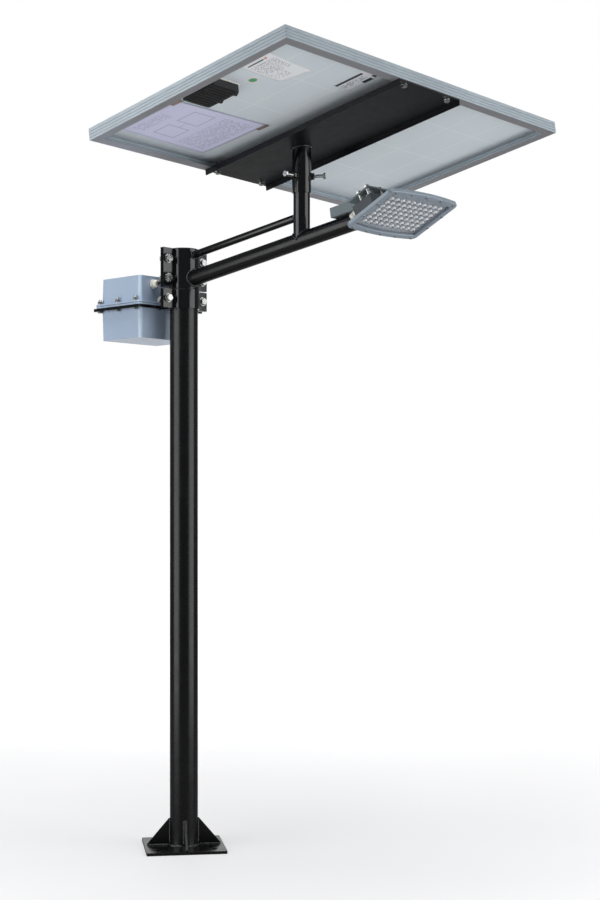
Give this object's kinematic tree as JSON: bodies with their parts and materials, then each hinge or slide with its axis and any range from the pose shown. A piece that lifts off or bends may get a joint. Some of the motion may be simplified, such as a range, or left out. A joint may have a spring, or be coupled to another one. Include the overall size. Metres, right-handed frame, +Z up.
{
  "type": "solar street lamp",
  "caption": "Solar street lamp: pole on a gusseted base plate, clamp collar with sloping arm, tilting LED head, swivelling framed solar panel on a post, and a clamped battery box.",
  "frame": {"origin": "centre of the base plate's underside, on the pole's axis", "axes": "+Z up along the pole, +X along the arm towards the lamp head, +Y level and square to the arm"},
  "size_m": [1.1028, 1.0053, 1.9654],
  "materials": {
    "black_paint": "gloss",
    "black_plastic": "satin",
    "zinc_steel": "satin",
    "grey_green_paint": "satin",
    "box_plastic": "satin",
    "seal_rubber": "matte",
    "cream_nylon": "satin",
    "battery_blue": "satin",
    "frame_aluminium": "satin",
    "backsheet_white": "satin",
    "cell_silicon": "gloss",
    "clear_glass": "gloss",
    "lamp_silver": "satin",
    "driver_grey": "satin",
    "lens_clear": "gloss",
    "board_white": "satin",
    "led_yellow": "matte"
  },
  "bodies": {
    "root": {"base_plate": "black_paint", "base_gussets": "black_paint", "pole_tube": "black_paint", "pole_cap": "black_plastic", "collar_front_shell": "black_paint", "collar_rear_shell": "black_paint", "box_clamp_front_shell": "black_paint", "box_clamp_rear_shell": "black_paint", "clamp_washers": "zinc_steel", "clamp_bolts": "zinc_steel", "clamp_nuts": "zinc_steel", "arm_tube": "black_paint", "tube_plugs": "black_plastic", "arm_brace": "black_paint", "post_tube": "black_paint", "arm_bracket": "grey_green_paint", "pivot_fasteners": "zinc_steel", "battery_box_body": "box_plastic", "battery_box_cover": "box_plastic", "battery_box_seal": "seal_rubber", "box_support_frame": "black_paint", "box_flange_bolts": "zinc_steel", "box_flange_nuts": "zinc_steel", "battery_pack": "battery_blue", "charge_controller": "black_plastic", "box_cable_gland": "cream_nylon", "box_cable": "seal_rubber", "cable_grommet": "seal_rubber"},
    "panel": {"frame_rail_high": "frame_aluminium", "frame_rail_low": "frame_aluminium", "frame_rail_left": "frame_aluminium", "frame_rail_right": "frame_aluminium", "panel_backsheet": "backsheet_white", "solar_cells": "cell_silicon", "panel_glass": "clear_glass", "jbox_base": "black_plastic", "jbox_lid": "black_plastic", "jbox_glands": "black_plastic", "mounting_channel": "black_paint", "channel_bolts": "zinc_steel", "channel_nuts": "zinc_steel", "sleeve_tube": "black_paint", "sleeve_nuts": "black_paint"},
    "lamp": {"lamp_bezel": "lamp_silver", "lamp_housing": "lamp_silver", "bezel_screws": "zinc_steel", "lens_gasket": "seal_rubber", "lens_plate": "lens_clear", "led_board": "board_white", "led_chips": "led_yellow", "driver_box": "driver_grey", "driver_cover": "driver_grey", "led_driver": "driver_grey", "lamp_cable_gland": "cream_nylon", "mount_plate_spacers": "zinc_steel", "mount_plate_bolts": "zinc_steel", "lamp_mount_plate": "grey_green_paint"},
    "screw_front": {"set_screw_front": "zinc_steel"},
    "screw_right": {"set_screw_right": "zinc_steel"},
    "screw_rear": {"set_screw_rear": "zinc_steel"}
  },
  "joints": [
    {"name": "panel_swivel", "type": "hinge", "parent": "root", "child": "panel", "pos_m": [0.438, 0, 1.78], "axis": [0, 0, 1], "range_deg": [-180, 180]},
    {"name": "lamp_tilt", "type": "hinge", "parent": "root", "child": "lamp", "pos_m": [0.69, 0, 1.67207], "axis": [0, 1, 0], "range_deg": [-15, 25]},
    {"name": "screw_front_slide", "type": "slide", "parent": "panel", "child": "screw_front", "axis": [0, -1, 0], "range_m": [0, 0.005]},
    {"name": "screw_right_slide", "type": "slide", "parent": "panel", "child": "screw_right", "axis": [0.866, 0.5, 0], "range_m": [0, 0.005]},
    {"name": "screw_rear_slide", "type": "slide", "parent": "panel", "child": "screw_rear", "axis": [-0.866, 0.5, 0], "range_m": [0, 0.005]}
  ]
}
